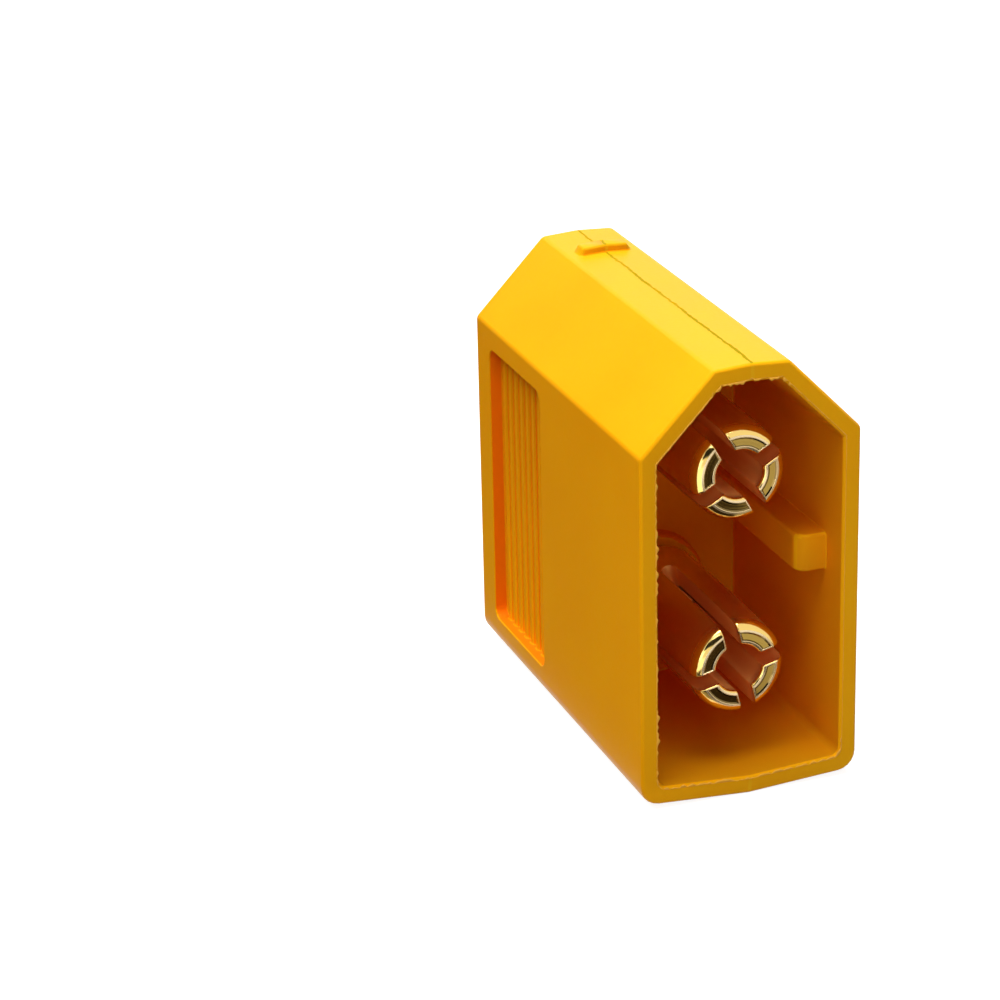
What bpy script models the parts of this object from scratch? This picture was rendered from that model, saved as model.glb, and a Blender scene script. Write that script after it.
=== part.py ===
"""Two-pole high-current battery connector with shrouded pins.

A yellow nylon housing is moulded round two gold-plated turned contacts. Each contact is one piece:
a slotted spring pin inside the shroud, a collar locked in the plastic and a solder cup behind it.

The part stands on its narrow lower side. The mouth faces -Y, +Z is up, and the origin is under the
middle of the part. Depths are measured backwards from the plane of the mouth.
"""

from math import atan2, cos, pi, radians, sin, tan

import bmesh
import bpy
from mathutils import Vector

MM = 0.001

# Housing, outside
width = 8.1 * MM
height = 15.9 * MM
length = 16.3 * MM
chamfer_width = 2.67 * MM
chamfer_height = 2.85 * MM
foot_radius = 0.7 * MM
mould_draft = radians(3.4)
edge_round = 0.12 * MM

# Shroud
wall = 0.65 * MM
shroud_depth = 9.3 * MM
shroud_corner_radius = 0.3 * MM

# Key on the right inner wall of the shroud, which only a connector turned the right way clears
key_setback = 1.3 * MM
key_reach = 1.1 * MM
key_thickness = 1.37 * MM
key_rise = 0.15 * MM
key_nose_radius = 0.5 * MM

# Pins, whose middle lies a little above the middle of the housing
pin_pitch = 7.2 * MM
pins_rise = 0.04 * MM
pin_setback = 0.93 * MM
pin_radius = 1.75 * MM
pin_crown = 0.03 * MM
pin_bore_radius = 0.87 * MM
pin_bore_chamfer = 0.08 * MM
nose_depth = 0.7 * MM
nose_step = 0.3 * MM
nose_slant = radians(20)
slot_width = 0.55 * MM
slot_length = 5.7 * MM
bore_past_slots = 0.5 * MM
negative_slot_turn = radians(29.5)
positive_slot_turn = radians(13.5)
neck_step = 0.25 * MM
neck_length = 0.9 * MM

# Contact inside and behind the housing
seat_wall = 0.9 * MM
collar_step = 0.3 * MM
collar_length = 1.2 * MM
cup_bore_radius = 1.8 * MM
cup_wall = 0.45 * MM
cup_reach = 4.0 * MM
cup_sink = 1.5 * MM
cup_chamfer = 0.12 * MM
scoop_lip = 0.15 * MM
scoop_setback = 0.8 * MM
scoop_radius = 1.4 * MM

# Seats for the contacts
fit_gap = 0.08 * MM
boss_wall = 0.42 * MM
boss_height = 0.6 * MM
well_clearance = 0.4 * MM
well_depth = 0.6 * MM

# Label pocket on each broad side, with a ribbed floor
pocket_depth = 0.5 * MM
pocket_past_shroud = 0.3 * MM
pocket_rear_margin = 1.4 * MM
pocket_foot_margin = 1.4 * MM
pocket_shoulder_margin = 0.85 * MM
pocket_radius = 0.4 * MM
fluting_pitch = 0.6 * MM
fluting_width = 0.3 * MM
fluting_height = 0.12 * MM
fluting_sink = 0.15 * MM

# Polarity marks: a raised minus on the upper side, and a plus sunk into the side that it stands on
mark_span = 2.0 * MM
mark_bar = 0.7 * MM
mark_relief = 0.28 * MM
mark_rear_margin = 2.7 * MM
mark_round = 0.1 * MM

# Number of facets
turn_segments = 48
arc_segments = 5
crown_segments = 5
edge_segments = 2

# Places that follow from the sizes above
overrun = 1.0 * MM
half_width = width / 2
mouth_y = -(length + cup_reach) / 2
rear_y = mouth_y + length
floor_y = mouth_y + shroud_depth
key_middle = height / 2 + key_rise
pins_middle = height / 2 + pins_rise
negative_z = pins_middle + pin_pitch / 2
positive_z = pins_middle - pin_pitch / 2
draft_slope = tan(mould_draft)
shoulder_z = height - chamfer_height
neck_radius = pin_radius - neck_step
shank_radius = cup_bore_radius + cup_wall
collar_radius = shank_radius + collar_step
seat_depth = shroud_depth + seat_wall
collar_depth = (seat_depth + length - well_depth - collar_length) / 2
boss_radius = neck_radius + fit_gap + boss_wall
pin_root_depth = shroud_depth - neck_length
slot_end_depth = pin_setback + slot_length

FACING_X = (pi / 2, 0, pi / 2)
FACING_Y = (pi / 2, 0, 0)
FACING_Z = (0, 0, 0)


def clear_scene():
    for obj in list(bpy.data.objects):
        bpy.data.objects.remove(obj, do_unlink=True)


def new_collection(name):
    collection = bpy.data.collections.new(name)
    bpy.context.scene.collection.children.link(collection)
    return collection


def new_material(name, colour, roughness, metallic):
    material = bpy.data.materials.new(name)
    material.use_nodes = True
    shader = material.node_tree.nodes["Principled BSDF"]
    shader.inputs["Base Color"].default_value = (*colour, 1)
    shader.inputs["Roughness"].default_value = roughness
    shader.inputs["Metallic"].default_value = metallic
    material.diffuse_color = (*colour, 1)
    return material


clear_scene()
parts = new_collection("power_connector")
cutters = new_collection("power_connector_cutters")
nylon = new_material("yellow_nylon", (0.95, 0.42, 0.005), 0.42, 0.0)
gold_plate = new_material("gold_plate", (0.93, 0.66, 0.28), 0.22, 1.0)


# Outlines, as lists of 2D points

def mirrored(right_side):
    """Close an outline given by its right side, from the lowest point on the axis to the highest."""
    left_side = [Vector((-x, y)) for x, y in reversed(right_side[1:-1])]
    return [Vector(point) for point in right_side] + left_side


def inset(corners, distance):
    """Move each side of a counter-clockwise convex outline inwards."""
    moved = []
    for index, corner in enumerate(corners):
        before = (corner - corners[index - 1]).normalized()
        after = (corners[(index + 1) % len(corners)] - corner).normalized()
        normal_before = Vector((-before.y, before.x))
        normal_after = Vector((-after.y, after.x))
        bisector = normal_before + normal_after
        moved.append(corner + bisector * distance / (1 + normal_before.dot(normal_after)))
    return moved


def rounded(corners, radii):
    """Replace each corner that has a radius by an arc tangent to its two sides."""
    points = []
    for index, corner in enumerate(corners):
        if not radii[index]:
            points.append(corner)
            continue
        towards_last = (corners[index - 1] - corner).normalized()
        towards_next = (corners[(index + 1) % len(corners)] - corner).normalized()
        half_angle = towards_last.angle(towards_next) / 2
        centre = corner + (towards_last + towards_next).normalized() * radii[index] / sin(half_angle)
        start = corner + towards_last * radii[index] / tan(half_angle) - centre
        end = corner + towards_next * radii[index] / tan(half_angle) - centre
        sweep = atan2(start.cross(end), start.dot(end))
        for step in range(arc_segments + 1):
            angle = sweep * step / arc_segments
            turned_start = Vector((start.x * cos(angle) - start.y * sin(angle),
                                   start.x * sin(angle) + start.y * cos(angle)))
            points.append(centre + turned_start)
    return points


def rectangle(low_x, high_x, low_y, high_y, radius):
    corners = [Vector((low_x, low_y)), Vector((high_x, low_y)), Vector((high_x, high_y)), Vector((low_x, high_y))]
    return rounded(corners, [radius] * 4)


def housing_corners():
    """Section across the connector: two chamfered upper corners, and draft both ways from the middle."""
    top_corner_x = half_width - chamfer_width
    return mirrored([
        (0, 0),
        (half_width, half_width * draft_slope),
        (half_width, shoulder_z),
        (top_corner_x, height - top_corner_x * draft_slope),
        (0, height),
    ])


def housing_outline(distance, corner_radius):
    radii = [0, corner_radius, 0, 0, 0, 0, 0, corner_radius]
    return rounded(inset(housing_corners(), distance), radii)


# Solids

def add_object(name, mesh, collection):
    obj = bpy.data.objects.new(name, mesh)
    collection.objects.link(obj)
    return obj


def prism(name, outline, low, high, facing):
    """Extrude an outline between two places along X, Y or Z."""
    curve = bpy.data.curves.new(name, "CURVE")
    curve.dimensions = "2D"
    curve.fill_mode = "BOTH"
    curve.extrude = (high - low) / 2
    spline = curve.splines.new("POLY")
    spline.points.add(len(outline) - 1)
    for point, (x, y) in zip(spline.points, outline):
        point.co = (x, y, 0, 1)
    spline.use_cyclic_u = True
    drawn = add_object(name + "_outline", curve, cutters)
    bpy.context.view_layer.update()
    mesh = bpy.data.meshes.new_from_object(drawn.evaluated_get(bpy.context.evaluated_depsgraph_get()))
    bpy.data.objects.remove(drawn)
    mesh.name = name
    mesh_edit = bmesh.new()
    mesh_edit.from_mesh(mesh)
    bmesh.ops.remove_doubles(mesh_edit, verts=mesh_edit.verts, dist=0.0001 * MM)
    bmesh.ops.dissolve_limit(mesh_edit, angle_limit=radians(0.2), verts=mesh_edit.verts, edges=mesh_edit.edges)
    bmesh.ops.recalc_face_normals(mesh_edit, faces=mesh_edit.faces)
    mesh_edit.to_mesh(mesh)
    mesh_edit.free()
    obj = add_object(name, mesh, cutters)
    middle = (low + high) / 2
    obj.rotation_euler = facing
    obj.location = {FACING_X: (middle, 0, 0), FACING_Y: (0, middle, 0), FACING_Z: (0, 0, middle)}[facing]
    return obj


def turned(name, profile, axis_z):
    """Turn a profile of (radius, depth) round a contact's axis, which runs backwards from the mouth."""
    mesh = bpy.data.meshes.new(name)
    points = [(radius, 0, -depth) for radius, depth in profile]
    mesh.from_pydata(points, [(index, index + 1) for index in range(len(points) - 1)], [])
    obj = add_object(name, mesh, cutters)
    obj.rotation_euler = FACING_Y
    obj.location = (0, mouth_y, axis_z)
    screw = obj.modifiers.new("turn", "SCREW")
    screw.axis = "Z"
    screw.angle = 2 * pi
    screw.steps = turn_segments
    screw.render_steps = turn_segments
    screw.use_merge_vertices = True
    screw.merge_threshold = 0.001 * MM
    screw.use_smooth_shade = True
    return obj


def repeat_at_both_pins(obj):
    """Repeat a shape that is turned round the lower pin's axis round the upper pin's axis too."""
    array = obj.modifiers.new("both_pins", "ARRAY")
    array.count = 2
    array.use_relative_offset = False
    array.use_constant_offset = True
    array.constant_offset_displace = (0, pin_pitch, 0)
    return obj


def combine(target, operand, operation):
    boolean = target.modifiers.new(operand.name, "BOOLEAN")
    boolean.operation = operation
    boolean.solver = "EXACT"
    boolean.object = operand
    operand.hide_render = True
    operand.display_type = "WIRE"


def round_edges(obj, amount):
    bevel = obj.modifiers.new("round_edges", "BEVEL")
    bevel.limit_method = "ANGLE"
    bevel.angle_limit = radians(30)
    bevel.width = amount
    bevel.segments = edge_segments


def finish_part(obj, name, material):
    cutters.objects.unlink(obj)
    parts.objects.link(obj)
    obj.name = name
    obj.data.materials.clear()
    obj.data.materials.append(material)
    obj.data.shade_smooth()
    obj.data.set_sharp_from_angle(angle=radians(35))
    return obj


# Housing

def shroud_cavity():
    outline = housing_outline(wall, shroud_corner_radius)
    return prism("shroud_cavity", outline, mouth_y - overrun, floor_y, FACING_Y)


def shroud_key():
    root = half_width - wall / 2
    tip = half_width - wall - key_reach
    front = mouth_y + key_setback
    rear = floor_y + seat_wall / 2
    corners = [Vector((tip, front)), Vector((root, front)), Vector((root, rear)), Vector((tip, rear))]
    outline = rounded(corners, [key_nose_radius, 0, 0, 0])
    key = prism("shroud_key", outline, key_middle - key_thickness / 2, key_middle + key_thickness / 2, FACING_Z)
    round_edges(key, edge_round)
    return key


def contact_bosses():
    """A low ring of plastic on the shroud's floor, round the root of each pin."""
    front = shroud_depth - boss_height
    rear = shroud_depth + seat_wall / 2
    profile = [(0, front), (boss_radius - edge_round, front), (boss_radius, front + edge_round),
               (boss_radius, rear), (0, rear)]
    return repeat_at_both_pins(turned("contact_bosses", profile, positive_z))


def contact_seats():
    """The space that each contact leaves in the plastic, with the well round its cup."""
    collar_end = collar_depth + collar_length
    well_start = length - well_depth
    profile = [
        (0, pin_root_depth - overrun),
        (neck_radius + fit_gap, pin_root_depth - overrun),
        (neck_radius + fit_gap, seat_depth - fit_gap),
        (shank_radius + fit_gap, seat_depth - fit_gap),
        (shank_radius + fit_gap, collar_depth - fit_gap),
        (collar_radius + fit_gap, collar_depth - fit_gap),
        (collar_radius + fit_gap, collar_end + fit_gap),
        (shank_radius + fit_gap, collar_end + fit_gap),
        (shank_radius + fit_gap, well_start),
        (shank_radius + well_clearance, well_start),
        (shank_radius + well_clearance, length + overrun),
        (0, length + overrun),
    ]
    return repeat_at_both_pins(turned("contact_seats", profile, positive_z))


def label_pocket(side):
    low_y = floor_y + pocket_past_shroud
    high_y = rear_y - pocket_rear_margin
    outline = rectangle(low_y, high_y, pocket_foot_margin, shoulder_z - pocket_shoulder_margin, pocket_radius)
    low, high = sorted((side * (half_width - pocket_depth), side * (half_width + overrun)))
    return prism("pocket_left" if side < 0 else "pocket_right", outline, low, high, FACING_X)


def pocket_fluting(side):
    """Fine upright ribs on a pocket's floor, from end to end, as one object with a separate bar for each."""
    low_y = floor_y + pocket_past_shroud
    high_y = rear_y - pocket_rear_margin
    room = high_y - low_y - fluting_width
    gaps = int(room / fluting_pitch)
    first_y = (low_y + high_y) / 2 - (gaps - 1) * fluting_pitch / 2
    low_z = pocket_foot_margin - fluting_sink
    high_z = shoulder_z - pocket_shoulder_margin + fluting_sink
    bars = bmesh.new()
    for index in range(gaps):
        bar = bmesh.ops.create_cube(bars, size=1)["verts"]
        bmesh.ops.scale(bars, verts=bar, vec=(2 * fluting_height, fluting_width, high_z - low_z))
        place = (side * (half_width - pocket_depth), first_y + index * fluting_pitch, (low_z + high_z) / 2)
        bmesh.ops.translate(bars, verts=bar, vec=place)
    mesh = bpy.data.meshes.new("fluting_left" if side < 0 else "fluting_right")
    bars.to_mesh(mesh)
    bars.free()
    fluting = add_object(mesh.name, mesh, cutters)
    round_edges(fluting, fluting_height / 2)
    return fluting


def minus_mark():
    """A raised bar across the parting line, which falls away to both sides with the draft under it."""
    middle_y = rear_y - mark_rear_margin
    half_span = mark_span / 2
    top = height + mark_relief
    root = height - half_span * draft_slope - mark_relief
    outline = mirrored([(0, root), (half_span, root), (half_span, top - half_span * draft_slope), (0, top)])
    bar = prism("minus_mark", outline, middle_y - mark_bar / 2, middle_y + mark_bar / 2, FACING_Y)
    round_edges(bar, mark_round)
    return bar


def plus_bar(name, span_x, span_y):
    middle_y = rear_y - mark_rear_margin
    outline = rectangle(-span_x / 2, span_x / 2, middle_y - span_y / 2, middle_y + span_y / 2, mark_round)
    return prism(name, outline, -overrun, mark_relief, FACING_Z)


def build_housing():
    housing = prism("housing", housing_outline(0, foot_radius), mouth_y, rear_y, FACING_Y)
    combine(housing, shroud_cavity(), "DIFFERENCE")
    round_edges(housing, edge_round)
    combine(housing, shroud_key(), "UNION")
    for side in (-1, 1):
        combine(housing, label_pocket(side), "DIFFERENCE")
    for side in (-1, 1):
        combine(housing, pocket_fluting(side), "UNION")
    combine(housing, contact_bosses(), "UNION")
    combine(housing, minus_mark(), "UNION")
    combine(housing, plus_bar("plus_bar_across", mark_span, mark_bar), "DIFFERENCE")
    combine(housing, plus_bar("plus_bar_along", mark_bar, mark_span), "DIFFERENCE")
    combine(housing, contact_seats(), "DIFFERENCE")
    return finish_part(housing, "housing", nylon)


# Contacts

def pin_profile():
    """Outer side of the spring pin, from its flat end back to the neck.

    The round nose meets the flat end at an edge, and the pin is slightly crowned behind it.
    """
    nose_radius = pin_radius - pin_crown
    points = []
    for step in range(arc_segments + 1):
        angle = nose_slant + (pi / 2 - nose_slant) * step / arc_segments
        inwards = (1 - sin(angle)) / (1 - sin(nose_slant))
        backwards = 1 - cos(angle) / cos(nose_slant)
        points.append((nose_radius - nose_step * inwards, pin_setback + nose_depth * backwards))
    crown_start = pin_setback + nose_depth
    for step in range(1, crown_segments + 1):
        along = step / crown_segments
        radius = pin_radius - pin_crown * (2 * along - 1) ** 2
        points.append((radius, crown_start + along * (pin_root_depth - crown_start)))
    points.append((neck_radius, pin_root_depth + neck_step))
    return points


def contact_profile():
    bore_end = slot_end_depth + bore_past_slots
    cup_end = length + cup_reach
    cup_floor = length - cup_sink
    collar_end = collar_depth + collar_length
    return [
        (0, bore_end + pin_bore_radius / 2),
        (pin_bore_radius, bore_end),
        (pin_bore_radius, pin_setback + pin_bore_chamfer),
        (pin_bore_radius + pin_bore_chamfer, pin_setback),
        *pin_profile(),
        (neck_radius, seat_depth),
        (shank_radius, seat_depth),
        (shank_radius, collar_depth),
        (collar_radius, collar_depth),
        (collar_radius, collar_end),
        (shank_radius, collar_end),
        (shank_radius, cup_end - cup_chamfer),
        (shank_radius - cup_chamfer, cup_end),
        (cup_bore_radius, cup_end),
        (cup_bore_radius, cup_floor),
        (0, cup_floor - cup_bore_radius / 2),
    ]


def slot_cutter(name, turn, axis_z):
    """One saw cut across the whole pin, which leaves two opposite slots with a round end.

    The turn is counter-clockwise as seen from in front of the mouth.
    """
    reach = pin_radius + overrun
    low_y = mouth_y + pin_setback - overrun
    high_y = mouth_y + slot_end_depth
    end_radius = slot_width / 2
    corners = [Vector((-end_radius, low_y)), Vector((end_radius, low_y)),
               Vector((end_radius, high_y)), Vector((-end_radius, high_y))]
    outline = rounded(corners, [0, 0, end_radius * 0.99, end_radius * 0.99])
    cutter = prism(name, outline, -reach, reach, FACING_Z)
    cutter.rotation_euler = (0, -turn, 0)
    cutter.location = (0, 0, axis_z)
    return cutter


def scoop_cutter(name, axis_z):
    """Opens the cup towards -X behind the housing, with a curved start."""
    start = rear_y + scoop_setback
    end = rear_y + cup_reach + overrun
    far = -(shank_radius + overrun)
    corners = [Vector((far, start)), Vector((-scoop_lip, start)), Vector((-scoop_lip, end)), Vector((far, end))]
    outline = rounded(corners, [0, scoop_radius, 0, 0])
    reach = shank_radius + overrun
    return prism(name, outline, axis_z - reach, axis_z + reach, FACING_Z)


def build_contact(pole, axis_z, slot_turn):
    contact = turned(pole + "_contact", contact_profile(), axis_z)
    combine(contact, slot_cutter(pole + "_slot_a", slot_turn, axis_z), "DIFFERENCE")
    combine(contact, slot_cutter(pole + "_slot_b", slot_turn + pi / 2, axis_z), "DIFFERENCE")
    combine(contact, scoop_cutter(pole + "_scoop", axis_z), "DIFFERENCE")
    return finish_part(contact, pole + "_contact", gold_plate)


build_housing()
build_contact("negative", negative_z, negative_slot_turn)
build_contact("positive", positive_z, positive_slot_turn)
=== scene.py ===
from math import radians, tan

import bmesh
import bpy
from mathutils import Matrix, Vector, noise
from mathutils.bvhtree import BVHTree


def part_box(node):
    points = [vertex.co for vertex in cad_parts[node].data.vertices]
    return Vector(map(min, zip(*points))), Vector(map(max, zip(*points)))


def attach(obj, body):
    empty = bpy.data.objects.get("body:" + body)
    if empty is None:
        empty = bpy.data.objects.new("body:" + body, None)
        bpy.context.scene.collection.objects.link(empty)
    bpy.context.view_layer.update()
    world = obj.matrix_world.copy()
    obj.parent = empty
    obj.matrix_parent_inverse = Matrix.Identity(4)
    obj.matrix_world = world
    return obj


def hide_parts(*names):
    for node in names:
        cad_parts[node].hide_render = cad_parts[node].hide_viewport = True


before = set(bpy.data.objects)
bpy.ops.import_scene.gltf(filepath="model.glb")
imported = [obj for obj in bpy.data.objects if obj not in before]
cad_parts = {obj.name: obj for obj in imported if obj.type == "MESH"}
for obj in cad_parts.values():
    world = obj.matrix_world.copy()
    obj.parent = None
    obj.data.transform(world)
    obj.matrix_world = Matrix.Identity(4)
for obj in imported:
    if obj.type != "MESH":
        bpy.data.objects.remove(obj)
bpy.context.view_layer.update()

MM = 0.001

# Places read from the frame. The top is the housing's own, without the raised mark behind the mouth
housing_low, housing_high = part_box("housing")
mouth_y = housing_low.y
rear_y = housing_high.y
foot_z = housing_low.z
behind_mouth = 2 * MM
top_z = max(corner.co.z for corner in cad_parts["housing"].data.vertices
            if corner.co.y < mouth_y + behind_mouth)
shroud_depth = 9.3 * MM
pin_rear_y = 0.0

# Refining the CAD meshes
merge_distance = 0.002 * MM
cut_distance = 0.0002 * MM
on_plane = 0.001 * MM
same_place = 0.01 * MM
ray_start = 0.02 * MM
flat_angle = radians(0.6)
edge_angle = radians(24)
smooth_angle = radians(40)

# Housing: its edges, the walls that see each other, the painted shade on its inner faces, and the raised
# mark
nylon_edge = 0.05 * MM
nylon_edge_segments = 3
shelter_reach = 16 * MM
key_front = 0.3 * MM
key_back = 4 * MM
# How much painted shade the key's end, the shroud's floor and the bosses get, from 0 to 1
key_end_shade = 0.6
floor_shade = 0.5
boss_shade = 0.15
boss_height = 0.05 * MM
mark_share = 0.9
mark_ends = (0.6 * MM, 1.1 * MM)
mark_lift = 0.05 * MM
# Painted shade on the raised mark's front face
mark_front_shade = 0.35

# Joint of the mould's two halves: its groove, and how deep the housing's outside goes there. A slope is
# the share of a face's direction that lies along one axis
joint_half_width = 0.055 * MM
joint_reach = 1.05 * joint_half_width
joint_depth = 0.08 * MM
joint_end_depth = 0.3
joint_step = 0.14 * MM
joint_wander = 0.05 * MM
end_slope = 0.6
square_on = 0.9
end_skin = 0.3 * MM
mark_skin = 0.1 * MM
foot_skin = 0.45 * MM
top_skin = 0.35 * MM

# Flash on the mouth's inner edge: how wide and how ragged it is on the left and on the right, by height
rim_reach = 0.05 * MM
flash_step = 0.05 * MM
flash_width = 0.07 * MM
flash_wander = 0.075 * MM
flash_thickness = 0.04 * MM
flash_tip_depth = 0.012 * MM
flash_root_depth = 0.022 * MM
flash_above = (
    (top_z - 0.9 * MM, (1.2, 1.3), (1.2, 1.3)),
    (12.6 * MM, (1.1, 0.15), (0.6, 0.2)),
    (1.5 * MM, (0.9, 0.8), (0.1, 0.1)),
    (foot_z, (0.9, 0.8), (0.9, 0.8)),
)

# Contacts: edges, the tines' burr and step, and how far behind its front the rings of the nose go
gold_edge = 0.04 * MM
gold_edge_segments = 3
burr_width = 0.04 * MM
burr_bead = 0.008 * MM
burr_reach = 0.01 * MM
step_width = 0.05 * MM
step_depth = 0.025 * MM
tine_slant = radians(7)
nose_depth = 0.7 * MM
nose_rings = (0.055 * MM, 0.120 * MM, 0.210 * MM, 0.360 * MM)
slot_reach = 3.4 * MM
slot_end_start = 1.5 * MM
pin_inside = 1.2 * MM

# Colours, linear
yellow = (0.95, 0.44, 0.004)
deep_yellow = (0.94, 0.415, 0.003)
# Paler nylon on polished edges, painted as a highlight
edge_wear_and_highlight_yellow = (0.97, 0.50, 0.012)
# Painted shade on the walls inside the shroud, at the mouth and deep in
shade_orange_at_mouth = (0.81, 0.30, 0.004)
shade_orange_deep = (0.98, 0.235, 0.003)
# Dark dirt in the mould's joint, also used as painted shade on the raised mark's front and low in the mouth
olive_dirt_and_shade = (0.30, 0.25, 0.002)
thin_yellow = (0.97, 0.51, 0.01)
# Paler film colour, partly a painted highlight
film_peach_and_highlight = (1.0, 0.50, 0.06)
speck_brown = (0.20, 0.07, 0.004)
warm_sheen = (1.0, 0.55, 0.05)
gold = (0.94, 0.65, 0.19)
# Paler gold on edges: plating worn there, and painted as a highlight
edge_wear_and_highlight_gold = (0.97, 0.76, 0.38)
# Paler gold on the rough burr, partly a painted highlight
burr_gold_with_painted_highlight = (1.0, 0.77, 0.44)
tarnished_gold = (0.72, 0.42, 0.12)
# Sawn faces in the slots and the bore, painted redder and darker as shade
sawn_and_shaded_gold = (1.0, 0.52, 0.16)
# Painted shade in the step inside each tine's burr
painted_step_shade = (0.04, 0.02, 0.008)

# Finishes: where each effect starts and is full, and how it changes roughness and shine
handled_contrast = 6.0
handled_patches = 900
# Painted shade inside the shroud is full from this Y inwards
shade_full_from_y = mouth_y + 0.7 * shroud_depth
# Painted shade low down in the mouth: the heights over which it fades out, and how strong it is at the
# bottom
low_shade_heights = (foot_z + 0.7 * MM, foot_z + 1.6 * MM)
low_shade_share = 0.25
satin_roughness = (0.36, 0.46)
edge_polish = 0.06
nylon_shine = 0.25
dirt_and_shade_shine = 0.05
film_roughness = (0.4, 0.55)
film_shine = 0.1
rub_start = (0.1 * MM, 0.45 * MM)
rub_end = (pin_rear_y, pin_rear_y + 1 * MM)
gold_roughness = 0.06
ring_roughness = 0.09

# Camera, fitted to the photograph
camera_place = Vector((-42.860, -107.009, 53.525)) * MM
camera_right = Vector((0.94066, -0.33861, -0.022374))
camera_up = Vector((0.14550, 0.34288, 0.92804))
camera_lens = 121.75
camera_sensor = 36
nearest_seen = 1 * MM
farthest_seen = 10

# Studio: the floor, the world, and the softboxes with their places and sizes in mm and their watts
floor_half_width = 1.5
floor_colour = (0.42, 0.42, 0.42)
floor_glow = 0.9
white = (1, 1, 1)
world_light = 0.12
world_seen = 1.0
card_roughness = 0.9
middle_of_part = Vector((0, 0, 8)) * MM
softboxes = (
    ("overhead_softbox", (-50, 9, 219), 240, 1.0),
    ("front_softbox", (-60, -150, 120), 70, 0.03),
    ("left_softbox", (-130, -130, 24), 70, 0.022),
)

# Cards: place, the way each faces, turn, width and depth in mm, colour, and whether it shades the rest
upwards = Vector((0, 0, 1))
rightwards = Vector((1, 0, 0))
towards_camera = (camera_place - middle_of_part).normalized()
lens_place = middle_of_part + towards_camera * 95 * MM + camera_right * 8 * MM
cards = (
    ("dark_card", Vector((4.0, -37.7, 1)) * MM, upwards, radians(16), 12, 54, (0.024, 0.018, 0.012), False),
    ("grey_card", Vector((31, -75, 0.6)) * MM, upwards, 0, 78, 129, (0.30, 0.28, 0.20), False),
    ("side_card", Vector((-15, 24, 30)) * MM, rightwards, 0, 84, 59, (0.35, 0.14, 0.01), True),
    ("flank_card", Vector((-12.4, 20, 0.3)) * MM, upwards, 0, 16, 64, (0.19, 0.14, 0.02), True),
    ("lens_card", lens_place, towards_camera, 0, 90, 36, (0.02, 0.02, 0.02), False),
)


# Small helpers for meshes

def start_from(node):
    """A working copy of a CAD node's mesh, with its loose triangles merged into whole faces.

    It has a value for each label that a material may read, which is 0 until mark_faces sets it.
    """
    work = bmesh.new()
    work.from_mesh(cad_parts[node].data)
    for edge in work.edges:
        edge.smooth = True
    for label in ("in_shade", "dirt_and_shade", "rough"):
        work.faces.layers.float.new(label)
    bmesh.ops.remove_doubles(work, verts=work.verts, dist=merge_distance)
    bmesh.ops.dissolve_degenerate(work, edges=work.edges, dist=merge_distance)
    bmesh.ops.dissolve_limit(work, angle_limit=flat_angle, verts=work.verts, edges=work.edges)
    return work


def soften_edges(work, width, segments):
    """Round every corner that is sharper than the facets of a curved face."""
    corners = [edge for edge in work.edges if edge.is_manifold and edge.calc_face_angle(0) > edge_angle]
    bmesh.ops.bevel(work, geom=corners, offset=width, segments=segments, profile=0.5, affect="EDGES",
                    clamp_overlap=False, material=-1)


def mark_faces(work, label, chosen, value=1.0):
    """Give the chosen faces a value, which a material reads by its label."""
    layer = work.faces.layers.float[label]
    for face in chosen:
        face[layer] = value


def facing_mouth(work, front, back, slope):
    """Faces that look towards the mouth by at least some slope, with their middle between two Y."""
    return [face for face in work.faces
            if face.normal.y < -slope and front < face.calc_center_median().y < back]


def sheltered_faces(work, reach):
    """Faces that look straight at another wall of the same piece within some reach."""
    walls = BVHTree.FromBMesh(work)
    found = set()
    for face in work.faces:
        start = face.calc_center_median() + face.normal * ray_start
        if walls.ray_cast(start, face.normal, reach)[0] is not None:
            found.add(face)
    return found


def loops_of(edges):
    """Split border edges into their separate closed loops."""
    left = set(edges)
    loops = []
    while left:
        loop = [left.pop()]
        for edge in loop:
            linked = {other for corner in edge.verts for other in corner.link_edges} & left
            left -= linked
            loop.extend(linked)
        loops.append(loop)
    return loops


def rightmost(loop):
    """How far to the right a loop of edges goes."""
    return max(corner.co.x for edge in loop for corner in edge.verts)


def cut_by_plane(work, faces, place, direction):
    """Cut faces by a plane, and give back those that it cut and those that it made."""
    edges = {edge for face in faces for edge in face.edges}
    corners = {corner for face in faces for corner in face.verts}
    cut = bmesh.ops.bisect_plane(work, geom=[*faces, *edges, *corners], dist=cut_distance,
                                 plane_co=place, plane_no=direction)
    return {item for item in cut["geom"] if isinstance(item, bmesh.types.BMFace)}


def cut_in_steps(work, faces, axis, low, high, step):
    """Cut faces by evenly spaced planes across one axis, and give back all that they became."""
    current = set(faces)
    direction = Vector([1.0 if index == axis else 0.0 for index in range(3)])
    count = int((high - low) / step)
    for index in range(1, count):
        place = low + (high - low) * index / count
        crossing = [face for face in current
                    if min(corner.co[axis] for corner in face.verts) < place - on_plane
                    and max(corner.co[axis] for corner in face.verts) > place + on_plane]
        if crossing:
            current |= cut_by_plane(work, crossing, direction * place, direction)
            current = {face for face in current if face.is_valid}
    return current


def unevenness(place, size, offset=(0, 0, 0)):
    """A value from about -1 to 1 that wanders smoothly over places that are some size apart."""
    return noise.noise(place / size + Vector(offset))


def new_object(name, work, material):
    """Turn finished mesh data into an object of the scene."""
    mesh = bpy.data.meshes.new(name)
    work.to_mesh(mesh)
    work.free()
    mesh.materials.append(material)
    item = bpy.data.objects.new(name, mesh)
    bpy.context.scene.collection.objects.link(item)
    return item


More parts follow.
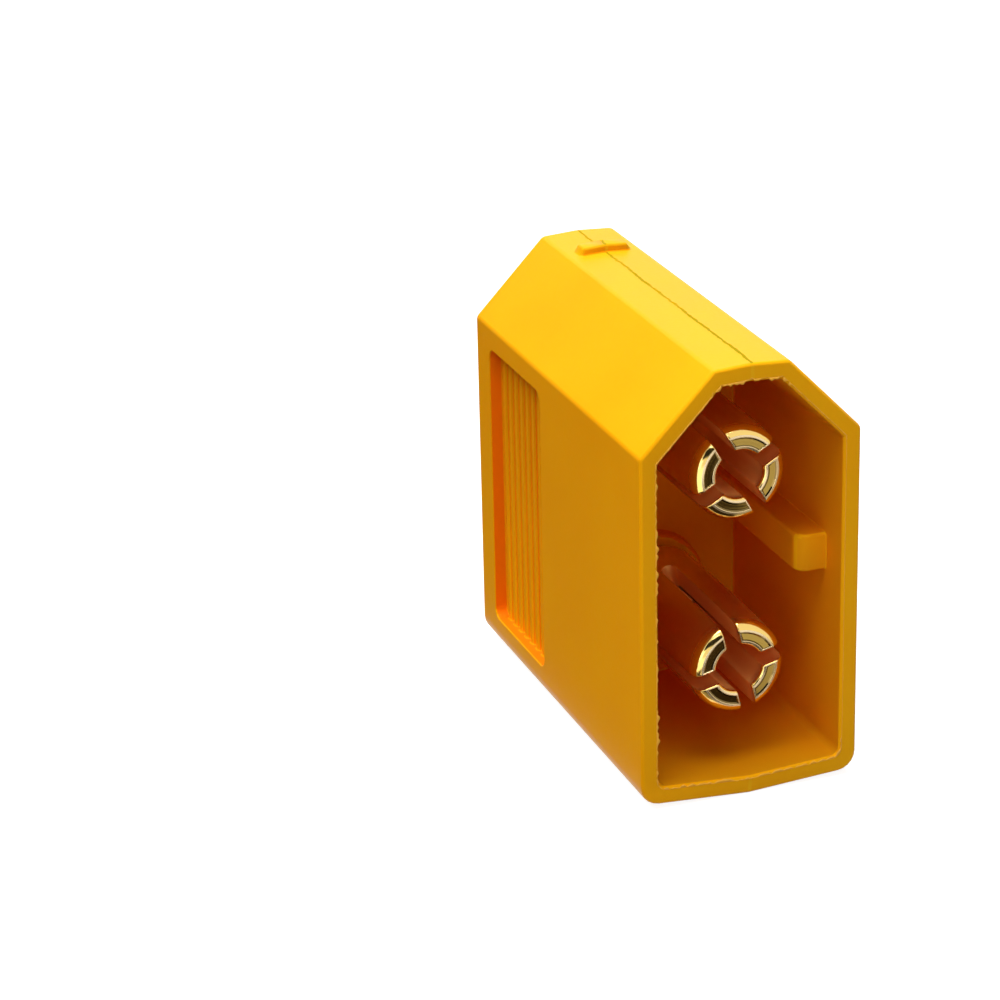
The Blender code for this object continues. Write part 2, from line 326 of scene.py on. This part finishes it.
def mark_sharp(work):
    """Shade smoothly everywhere but at corners, and keep the sharp edges that were already marked."""
    for edge in work.edges:
        if edge.is_manifold and edge.calc_face_angle(0) > smooth_angle:
            edge.smooth = False
    for face in work.faces:
        face.smooth = True


def make_piece(name, work, material, slot, *nodes):
    """Turn finished mesh data into a piece that rides with the part."""
    mark_sharp(work)
    piece = new_object(name, work, material)
    weighted = piece.modifiers.new("even_shading", "WEIGHTED_NORMAL")
    weighted.keep_sharp = True
    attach(piece, "root")
    if nodes:
        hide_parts(*nodes)
    return piece


# Small helpers for materials

def feed(tree, socket, value):
    """Link an input socket to an output socket, or set it to a number, a colour or a few numbers."""
    if isinstance(value, bpy.types.NodeSocket):
        tree.links.new(value, socket)
    else:
        socket.default_value = (*value, 1) if socket.type == "RGBA" else value


def set_node(tree, node, *in_order, **by_name):
    """Feed a node's first input sockets in order, and feed others or set its own options by name."""
    for socket, value in zip(node.inputs, in_order):
        feed(tree, socket, value)
    for name, value in by_name.items():
        socket = node.inputs.get(name.replace("_", " "))
        if socket is None:
            setattr(node, name, value)
        else:
            feed(tree, socket, value)


def add_node(tree, kind, *in_order, **by_name):
    """Add a node of some kind, set it, and give back its output sockets."""
    node = tree.nodes.new(kind)
    set_node(tree, node, *in_order, **by_name)
    return node.outputs


def calculate(tree, operation, *values):
    """A math node on sockets or plain numbers."""
    return add_node(tree, "ShaderNodeMath", *values, operation=operation)[0]


def remap(tree, value, old_range, new_range=(0, 1)):
    """Carry a value over from one range to another, and stop at its ends."""
    limits = dict(zip(("From_Min", "From_Max", "To_Min", "To_Max"), (*old_range, *new_range)))
    return add_node(tree, "ShaderNodeMapRange", value, **limits)[0]


def fade_out(tree, value):
    """The opposite of a value from 0 to 1."""
    return remap(tree, value, (0, 1), (1, 0))


def mix_colours(tree, share, first, second):
    """Go from a first colour to a second by some share. A mix node's colours have sockets of their own."""
    node = tree.nodes.new("ShaderNodeMix")
    node.data_type = "RGBA"
    first_colour, second_colour = node.inputs[6:8]
    mixed_colour = node.outputs[2]
    for socket, value in ((node.inputs["Factor"], share), (first_colour, first), (second_colour, second)):
        feed(tree, socket, value)
    return mixed_colour


def lay_over(tree, colour, *layers):
    """Lay colours over a first one in turn, each given as its mask, its strength and the colour."""
    for mask, strength, over in layers:
        share = mask if strength == 1 else calculate(tree, "MULTIPLY", mask, strength)
        colour = mix_colours(tree, share, colour, over)
    return colour


def add_bump(tree, shader, height, strength, distance):
    """Let a height that changes over the surface turn the light on it."""
    bump = add_node(tree, "ShaderNodeBump", Height=height, Strength=strength, Distance=distance)
    feed(tree, shader.inputs["Normal"], bump["Normal"])


def read_mark(tree, label):
    """The value that mark_faces gave to a piece's faces."""
    return add_node(tree, "ShaderNodeAttribute", attribute_name=label)["Fac"]


def read_place(tree):
    """Places on the piece, which sits at the origin."""
    return add_node(tree, "ShaderNodeTexCoord")["Object"]


def split_place(tree):
    """Places on the piece as X, Y and Z."""
    return add_node(tree, "ShaderNodeSeparateXYZ", read_place(tree))


def new_group(name, given_labels, result_labels):
    """A node group whose inputs and outputs are all numbers, and its sockets by their labels."""
    tree = bpy.data.node_groups.new(name, "ShaderNodeTree")
    for way, labels in (("INPUT", given_labels), ("OUTPUT", result_labels)):
        for label in labels:
            tree.interface.new_socket(label, in_out=way, socket_type="NodeSocketFloat")
    return tree, tree.nodes.new("NodeGroupInput").outputs, tree.nodes.new("NodeGroupOutput").inputs


def place_group(tree, group, **values):
    """Put an effect in a material with its own values, and give back what it puts out."""
    node = tree.nodes.new("ShaderNodeGroup")
    node.node_tree = group
    set_node(tree, node, **values)
    return node.outputs


# Effects that both finishes use

def edge_group():
    """Mask of outer edges, broken up a little, where handling polishes a surface and where a paler colour
    is painted on as a highlight.
    """
    tree, given, result = new_group("edge_wear_and_highlight", ("Reach", "Break Up"), ("Mask",))
    rounded = add_node(tree, "ShaderNodeBevel", samples=6, Radius=given["Reach"])
    geometry = add_node(tree, "ShaderNodeNewGeometry")
    facing = add_node(tree, "ShaderNodeVectorMath", rounded["Normal"], geometry["Normal"],
                      operation="DOT_PRODUCT")
    turned = calculate(tree, "SUBTRACT", 1.0, facing["Value"])
    patches = add_node(tree, "ShaderNodeTexNoise", Vector=read_place(tree), Scale=handled_patches, Detail=3)
    patchy = calculate(tree, "MULTIPLY", patches["Fac"], given["Break Up"])
    mask = calculate(tree, "SUBTRACT", calculate(tree, "MULTIPLY", turned, handled_contrast), patchy)
    feed(tree, result["Mask"], remap(tree, mask, (0, 1)))
    return tree


def speck_group():
    """Mask of small round specks, few and far between."""
    tree, given, result = new_group("specks", ("Scale", "Size", "Share"), ("Mask",))
    cells = add_node(tree, "ShaderNodeTexVoronoi", Vector=read_place(tree), Scale=given["Scale"])
    draws = add_node(tree, "ShaderNodeSeparateColor", Color=cells["Color"])
    chosen = calculate(tree, "LESS_THAN", draws["Red"], given["Share"])
    radius = calculate(tree, "MULTIPLY", draws["Green"], given["Size"])
    inside = calculate(tree, "LESS_THAN", cells["Distance"], radius)
    feed(tree, result["Mask"], calculate(tree, "MULTIPLY", chosen, inside))
    return tree


def grain_group():
    """Fine grain and slow waviness as a height, with a slow tone to vary the colour by."""
    tree, given, result = new_group("grain", ("Grain Scale", "Wave Scale", "Wave Share"),
                                    ("Height", "Tone"))
    place = read_place(tree)
    fine = add_node(tree, "ShaderNodeTexNoise", Vector=place, Scale=given["Grain Scale"], Detail=2)
    slow = add_node(tree, "ShaderNodeTexNoise", Vector=place, Scale=given["Wave Scale"], Detail=3)
    wave = calculate(tree, "MULTIPLY", slow["Fac"], given["Wave Share"])
    feed(tree, result["Height"], calculate(tree, "ADD", fine["Fac"], wave))
    feed(tree, result["Tone"], slow["Fac"])
    return tree


def turning_group():
    """Fine tool marks round a pin's axis: rings along its sides and circles on its ends."""
    tree, given, result = new_group("turning_marks", ("Axis Height", "Scale"), ("Height",))
    place = split_place(tree)
    above = calculate(tree, "SUBTRACT", place["Z"], given["Axis Height"])
    square = calculate(tree, "ADD", calculate(tree, "MULTIPLY", place["X"], place["X"]),
                       calculate(tree, "MULTIPLY", above, above))
    along = calculate(tree, "ADD", calculate(tree, "SQRT", square), place["Y"])
    rings = add_node(tree, "ShaderNodeTexNoise", noise_dimensions="1D", W=along, Scale=given["Scale"],
                     Detail=2)
    feed(tree, result["Height"], rings["Fac"])
    return tree


edge_wear_and_highlight = edge_group()
specks = speck_group()
grain = grain_group()
turning_marks = turning_group()


# Finishes

def new_finish(name):
    """A material with its tree and its Principled shader."""
    material = bpy.data.materials.new(name)
    material.use_nodes = True
    tree = material.node_tree
    return material, tree, tree.nodes["Principled BSDF"]


def moulded_nylon():
    """Satin nylon: slightly translucent, with a fine mould grain, a few specks, and polished edges painted
    paler as a highlight.

    Inside the shroud the walls are painted as shade, darker and redder deeper in, as light that goes from
    wall to wall would make them. Dirt fills the mould's joint, and painted shade darkens the raised mark's
    front and the inside low down near the mouth.
    """
    material, tree, shader = new_finish("moulded_nylon")
    skin = place_group(tree, grain, Grain_Scale=7000, Wave_Scale=260, Wave_Share=1.2)
    edges = place_group(tree, edge_wear_and_highlight, Reach=0.12 * MM, Break_Up=0.35)["Mask"]
    dots = place_group(tree, specks, Scale=345, Size=0.05, Share=0.03)["Mask"]
    place = split_place(tree)
    # Painted shade: the walls inside the shroud get darker and redder with depth
    depth = remap(tree, place["Y"], (mouth_y, shade_full_from_y))
    # Painted shade darkens the walls low down near the mouth
    low_down = remap(tree, place["Z"], low_shade_heights, (low_shade_share, 0))
    low_shade = calculate(tree, "MULTIPLY", low_down, fade_out(tree, depth))
    walls = lay_over(tree, shade_orange_at_mouth, (depth, 1, shade_orange_deep), (low_shade, 1, olive_dirt_and_shade))
    # Dirt in the mould's joint, and painted shade on the raised mark's front face
    dirt_and_shade = read_mark(tree, "dirt_and_shade")
    joint_dirt_and_mark_shade = calculate(tree, "MULTIPLY", dirt_and_shade, remap(tree, skin["Tone"], (0.42, 0.56), (0.78, 1)))
    colour = lay_over(tree, deep_yellow,
                      (remap(tree, skin["Tone"], (0.35, 0.65)), 1, yellow),
                      (edges, 0.35, edge_wear_and_highlight_yellow),
                      (read_mark(tree, "in_shade"), 1, walls),
                      (read_mark(tree, "rough"), 0.7, thin_yellow),
                      (joint_dirt_and_mark_shade, 0.9, olive_dirt_and_shade),
                      (dots, 0.8, speck_brown))
    satin = remap(tree, skin["Height"], (0.6, 1.6), satin_roughness)
    polish = calculate(tree, "MULTIPLY", edges, edge_polish)
    shine = remap(tree, dirt_and_shade, (0, 1), (nylon_shine, dirt_and_shade_shine))
    set_node(tree, shader, Base_Color=colour, Roughness=calculate(tree, "SUBTRACT", satin, polish),
             Specular_IOR_Level=shine, Specular_Tint=warm_sheen,
             Subsurface_Weight=0.1, Subsurface_Radius=(1.0, 0.35, 0.03), Subsurface_Scale=0.2 * MM)
    add_bump(tree, shader, skin["Height"], strength=0.25, distance=0.01 * MM)
    return material


def thin_nylon():
    """The same nylon where it is only a film: paler as thin nylon is, and painted paler still as a
    highlight where light catches its lip.
    """
    material, tree, shader = new_finish("thin_nylon")
    skin = place_group(tree, grain, Grain_Scale=9000, Wave_Scale=1500, Wave_Share=0.6)
    thicker = remap(tree, skin["Tone"], (0.45, 0.7), (0, 0.3))
    set_node(tree, shader, Base_Color=mix_colours(tree, thicker, film_peach_and_highlight, yellow),
             Roughness=remap(tree, skin["Height"], (0.5, 1.2), film_roughness),
             Specular_IOR_Level=film_shine, Specular_Tint=warm_sheen)
    return material


def plated_gold(name, axis_height, front_y):
    """Gold on turned brass: bright, with tool marks round the axis, duller where the saw went, and painted
    darker as shade on faces in the slots and the bore.

    The burr round each tine's end is rough and painted paler as a highlight, the step inside it is painted
    dark as shade, and the sides of the pin are rubbed from plugging in.
    """
    material, tree, shader = new_finish(name)
    marks = place_group(tree, turning_marks, Axis_Height=axis_height, Scale=14000)["Height"]
    stain = place_group(tree, grain, Grain_Scale=2500, Wave_Scale=500, Wave_Share=1.0)["Tone"]
    edges = place_group(tree, edge_wear_and_highlight, Reach=0.05 * MM, Break_Up=0.3)["Mask"]
    dots = place_group(tree, specks, Scale=1500, Size=0.12, Share=0.06)["Mask"]
    tarnish = remap(tree, stain, (0.5, 0.75), (0, 0.35))
    # Faces in the slots and the bore: rougher where sawn, and painted as shade
    sawn_and_shaded = read_mark(tree, "in_shade")
    burred = read_mark(tree, "rough")
    colour = lay_over(tree, gold,
                      (tarnish, 1, tarnished_gold),
                      (edges, 0.6, edge_wear_and_highlight_gold),
                      (dots, 0.5, tarnished_gold),
                      (sawn_and_shaded, 1, sawn_and_shaded_gold),
                      (read_mark(tree, "dirt_and_shade"), 0.8, painted_step_shade),
                      (burred, 1, burr_gold_with_painted_highlight))
    place = split_place(tree)["Y"]
    behind_nose = remap(tree, place, [front_y + depth for depth in rub_start])
    rubbed = calculate(tree, "MULTIPLY", behind_nose, remap(tree, place, rub_end, (1, 0)))
    shown = calculate(tree, "MULTIPLY", remap(tree, sawn_and_shaded, (0, 1), (1, 0.1)),
                      remap(tree, rubbed, (0, 1), (1, 0.05)))
    rings = calculate(tree, "MULTIPLY", remap(tree, marks, (0.3, 0.7), (0, ring_roughness)), shown)
    rough = calculate(tree, "ADD", rings, gold_roughness)
    for effect, roughening in ((tarnish, 0.2), (rubbed, 0.22), (sawn_and_shaded, 0.3), (burred, 0.15)):
        rough = calculate(tree, "ADD", rough, calculate(tree, "MULTIPLY", effect, roughening))
    metallic = remap(tree, burred, (0, 1), (1.0, 0.8))
    set_node(tree, shader, Base_Color=colour, Roughness=rough, Metallic=metallic)
    add_bump(tree, shader, calculate(tree, "MULTIPLY", marks, shown), strength=0.3, distance=0.002 * MM)
    return material


# Housing

def outer_skin(face):
    """Whether a face lies on the outside of the housing, where the two halves of the mould met."""
    middle = face.calc_center_median()
    if abs(face.normal.y) > square_on:
        at_mouth = middle.y < mouth_y + end_skin
        at_rear = middle.y > rear_y - end_skin
        return at_mouth or at_rear or middle.z > top_z - mark_skin
    between = foot_z + foot_skin < middle.z < top_z - top_skin
    return abs(face.normal.z) > square_on and not between


def near_joint(face):
    """Whether a face lies in the strip between the joint's outer cuts."""
    return all(abs(corner.co.x) < joint_reach for corner in face.verts)


def sink_mould_joint(work):
    """A fine uneven groove round the outside at X = 0, where the two halves of the mould met."""
    for place in (-joint_half_width, 0.0, joint_half_width):
        cut_by_plane(work, [face for face in work.faces if outer_skin(face)], (place, 0, 0), (1, 0, 0))
    strip = [face for face in work.faces if outer_skin(face) and near_joint(face)]
    strip = cut_in_steps(work, strip, 1, mouth_y, rear_y, joint_step)
    strip = cut_in_steps(work, strip, 2, foot_z, top_z, joint_step)
    work.normal_update()
    corners = {corner for face in strip for corner in face.verts}
    middle = {corner for corner in corners if abs(corner.co.x) < on_plane}
    for corner in middle:
        on_end = abs(corner.normal.y) > end_slope
        deep = joint_end_depth if on_end else 1 + 0.5 * unevenness(corner.co, size=0.5 * MM)
        corner.co -= corner.normal * joint_depth * deep
    for corner in corners - middle:
        corner.co.x += 0.8 * joint_half_width * unevenness(corner.co, size=0.23 * MM)
    for corner in corners:
        along = Vector((0, corner.co.y, corner.co.z))
        slow = unevenness(along, size=1.5 * MM)
        quick = unevenness(along, size=0.4 * MM, offset=(7, 3, 1))
        corner.co.x += joint_wander * (slow + 0.5 * quick)
    return strip


def narrow_mark(work):
    """Bring the raised mark's ends in a little, where the mould is worn."""
    inner, outer = mark_ends
    for corner in work.verts:
        raised = corner.co.z > top_z - same_place and corner.co.y > mouth_y + behind_mouth
        if raised and inner < abs(corner.co.x) < outer:
            corner.co.x *= mark_share


def refined_housing(material):
    """The housing with soft edges, its joint, and marks for the painted shade and the dirt that the nylon
    shows.
    """
    work = start_from("housing")
    narrow_mark(work)
    soften_edges(work, nylon_edge, nylon_edge_segments)
    # Painted shade: partly on the key's end, the shroud's floor and the bosses, fully on faces that look at
    # another wall
    key_end = facing_mouth(work, mouth_y + key_front, mouth_y + key_back, slope=0.7)
    shroud_floor = facing_mouth(work, mouth_y + key_back, rear_y, slope=square_on)
    bosses = facing_mouth(work, mouth_y + key_back, mouth_y + shroud_depth - boss_height, slope=square_on)
    for faces, share in ((key_end, key_end_shade), (shroud_floor, floor_shade), (bosses, boss_shade)):
        mark_faces(work, "in_shade", faces, share)
    mark_faces(work, "in_shade", sheltered_faces(work, shelter_reach))
    strip = sink_mould_joint(work)
    on_ends = {face for face in strip if abs(face.normal.y) >= end_slope}
    # Painted shade: the raised mark's front face is darkened
    mark_front = [face for face in work.faces
                  if face.normal.y < -0.5 and face.calc_center_median().z > top_z + mark_lift]
    mark_faces(work, "dirt_and_shade", mark_front, mark_front_shade)
    mark_faces(work, "dirt_and_shade", set(strip) - on_ends)
    mark_faces(work, "rough", on_ends)
    make_piece("moulded_housing", work, material, "nylon", "housing")


def flash_presence(place):
    """How wide and how ragged the flash is at a place on the mouth's inner edge."""
    for height, left, right in flash_above:
        if place.z > height:
            return left if place.x < 0 else right


def mouth_flash(material):
    """Thin ragged flash that the mould left along the inner edge of the mouth."""
    work = start_from("housing")
    rim = set(facing_mouth(work, mouth_y - rim_reach, mouth_y + rim_reach, slope=0.99))
    border = [edge for edge in work.edges if len(rim.intersection(edge.link_faces)) == 1]
    inner = min(loops_of(border), key=rightmost)
    bmesh.ops.delete(work, geom=list(work.faces), context="FACES_ONLY")
    bmesh.ops.delete(work, geom=list(set(work.edges) - set(inner)), context="EDGES")
    loose = [corner for corner in work.verts if not corner.link_edges]
    bmesh.ops.delete(work, geom=loose, context="VERTS")
    for edge in list(work.edges):
        bmesh.ops.subdivide_edges(work, edges=[edge], cuts=int(edge.calc_length() / flash_step))
    centre = sum((corner.co for corner in work.verts), Vector()) / len(work.verts)
    inwards = {}
    for corner in work.verts:
        before, after = [edge.other_vert(corner).co for edge in corner.link_edges]
        across = (after - before).normalized().cross(Vector((0, 1, 0)))
        inwards[corner] = across if across.dot(centre - corner.co) > 0 else -across
    bmesh.ops.extrude_edge_only(work, edges=list(work.edges))
    tips = {}
    for corner in work.verts:
        if corner not in inwards:
            neighbours = [edge.other_vert(corner) for edge in corner.link_edges]
            tips[corner] = next(other for other in neighbours if other in inwards)
    for tip, root in tips.items():
        coarse = unevenness(root.co, size=0.5 * MM)
        fine = unevenness(root.co, size=0.17 * MM, offset=(5.3, 2.7, 8.1))
        width, raggedness = flash_presence(root.co)
        reach = flash_width * width + flash_wander * raggedness * (coarse + 1.6 * fine)
        tip.co += inwards[root] * reach
        tip.co.y = mouth_y + flash_tip_depth
    for root, across in inwards.items():
        root.co += across * flash_width / 3
        root.co.y = mouth_y + flash_root_depth
    bmesh.ops.recalc_face_normals(work, faces=work.faces)
    piece = make_piece("mouth_flash", work, material, "nylon")
    film = piece.modifiers.new("film", "SOLIDIFY")
    film.thickness = flash_thickness
    film.offset = 0
    piece.modifiers.move(1, 0)


# Contacts

def off_axis(place, axis_height):
    """How far a place lies from a pin's axis."""
    return Vector((place.x, place.z - axis_height)).length


def blunt_nose(work, front_y, axis_height):
    """Move the rings of the pin's round nose along it, so that it starts as a blunt cone."""
    rings = {}
    for corner in work.verts:
        depth = corner.co.y - front_y
        if same_place < depth < nose_depth - same_place and off_axis(corner.co, axis_height) > pin_inside:
            rings.setdefault(round(depth / same_place), []).append(corner)
    for ring, depth in zip(sorted(rings), nose_rings):
        for corner in rings[ring]:
            corner.co.y = front_y + depth


def shape_tine_ends(work, front_y, axis_height):
    """Sink the end face of each tine inside a narrow burr, and let it fall away outwards a little."""
    ends = facing_mouth(work, front_y - same_place, front_y + same_place, slope=0.9999)
    for width_share, rise in ((0.3, burr_bead), (0.4, 0), (0.3, -burr_bead)):
        bmesh.ops.inset_individual(work, faces=ends, thickness=burr_width * width_share, depth=rise)
    steps = bmesh.ops.inset_individual(work, faces=ends, thickness=step_width, depth=-step_depth)["faces"]
    # Painted shade in the step inside the burr
    mark_faces(work, "dirt_and_shade", steps)
    inside = {*ends, *steps}
    burr = [face for face in work.faces
            if face not in inside and face.calc_center_median().y < front_y + burr_reach]
    # The burr is rough, and painted paler as a highlight
    mark_faces(work, "rough", burr)
    for edge in {edge for face in steps for edge in face.edges}:
        if not set(steps).issuperset(edge.link_faces):
            edge.smooth = False
    for face in ends:
        away = [off_axis(corner.co, axis_height) for corner in face.verts]
        middle = sum(away) / len(away)
        for corner, distance in zip(face.verts, away):
            corner.co.y += tan(tine_slant) * (distance - middle)


def refined_contact(node, name):
    """A contact with soft edges, a blunter nose, the saw's and the lathe's traces at its tines, and painted
    shade on faces in its slots and bore.
    """
    low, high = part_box(node)
    axis_height = (low.z + high.z) / 2
    work = start_from(node)
    blunt_nose(work, low.y, axis_height)
    soften_edges(work, gold_edge, gold_edge_segments)
    # Painted shade on faces inside the pin that look at another wall, and on the slots' ends
    in_shade = sheltered_faces(work, slot_reach)
    in_pin = [face for face in in_shade if face.calc_center_median().y < pin_rear_y]
    slot_ends = facing_mouth(work, low.y + slot_end_start, pin_rear_y, slope=0.4)
    mark_faces(work, "in_shade", [*in_pin, *slot_ends])
    shape_tine_ends(work, low.y, axis_height)
    make_piece(name, work, plated_gold(name + "_gold", axis_height, low.y), "gold_plate", node)


refined_housing(moulded_nylon())
mouth_flash(thin_nylon())
refined_contact("negative_contact", "upper_contact")
refined_contact("positive_contact", "lower_contact")


# Studio

def seen_directly(tree):
    """1 for rays from the camera and for those that metal or glass sends on."""
    path = add_node(tree, "ShaderNodeLightPath")
    direct = calculate(tree, "MAXIMUM", path["Is Camera Ray"], path["Is Glossy Ray"])
    return calculate(tree, "MAXIMUM", direct, path["Is Transmission Ray"])


def new_sheet(name, half_width, material):
    """A flat square at the origin that faces upwards."""
    work = bmesh.new()
    bmesh.ops.create_grid(work, x_segments=1, y_segments=1, size=half_width)
    return new_object(name, work, material)


def white_floor():
    """A pale floor that the camera and the metal see as white, apart from the object's soft shadow."""
    material = bpy.data.materials.new("white_floor")
    material.use_nodes = True
    tree = material.node_tree
    tree.nodes.clear()
    surface = add_node(tree, "ShaderNodeBsdfDiffuse", Color=floor_colour)[0]
    glow = add_node(tree, "ShaderNodeEmission", Strength=floor_glow)[0]
    both = add_node(tree, "ShaderNodeAddShader", surface, glow)[0]
    shown = add_node(tree, "ShaderNodeMixShader", seen_directly(tree), surface, both)[0]
    add_node(tree, "ShaderNodeOutputMaterial", Surface=shown)
    floor = new_sheet("floor", floor_half_width, material)
    floor.location.z = foot_z


def white_surroundings():
    """A world that lights the part dimly, and that the camera and the metal see as white."""
    world = bpy.data.worlds.new("studio")
    bpy.context.scene.world = world
    world.use_nodes = True
    tree = world.node_tree
    strength = remap(tree, seen_directly(tree), (0, 1), (world_light, world_seen))
    set_node(tree, tree.nodes["Background"], Color=white, Strength=strength)


def studio_card(name, place, facing, turn, width, depth, colour, shades):
    """A plain card that the camera doesn't see. The metal mirrors it, and it may shade the rest too."""
    material, tree, shader = new_finish(name)
    set_node(tree, shader, Base_Color=colour, Roughness=card_roughness, Specular_IOR_Level=0.0)
    card = new_sheet(name, 0.5, material)
    card.location = place
    card.rotation_euler = facing.to_track_quat("Z", "Y").to_euler()
    card.rotation_euler.rotate_axis("Z", turn)
    card.scale = (width * MM, depth * MM, 1)
    card.visible_camera = False
    card.visible_shadow = False
    card.visible_diffuse = shades


def softbox(name, place, size, power):
    """A square area light that is aimed at the middle of the part."""
    light = bpy.data.lights.new(name, "AREA")
    light.shape = "SQUARE"
    light.size = size * MM
    light.energy = power
    lamp = bpy.data.objects.new(name, light)
    lamp.location = Vector(place) * MM
    lamp.rotation_euler = (middle_of_part - lamp.location).to_track_quat("-Z", "Y").to_euler()
    bpy.context.scene.collection.objects.link(lamp)


def photograph_camera():
    """The camera at the place and with the lens that were fitted to the photograph."""
    camera = bpy.data.cameras.new("camera")
    camera.lens = camera_lens
    camera.sensor_width = camera_sensor
    camera.clip_start = nearest_seen
    camera.clip_end = farthest_seen
    holder = bpy.data.objects.new("camera", camera)
    bpy.context.scene.collection.objects.link(holder)
    turn = Matrix((camera_right, camera_up, camera_right.cross(camera_up))).transposed().to_4x4()
    holder.matrix_world = Matrix.Translation(camera_place) @ turn
    bpy.context.scene.camera = holder


white_floor()
white_surroundings()
for values in softboxes:
    softbox(*values)
for values in cards:
    studio_card(*values)
photograph_camera()
bpy.context.scene.view_settings.view_transform = "Standard"
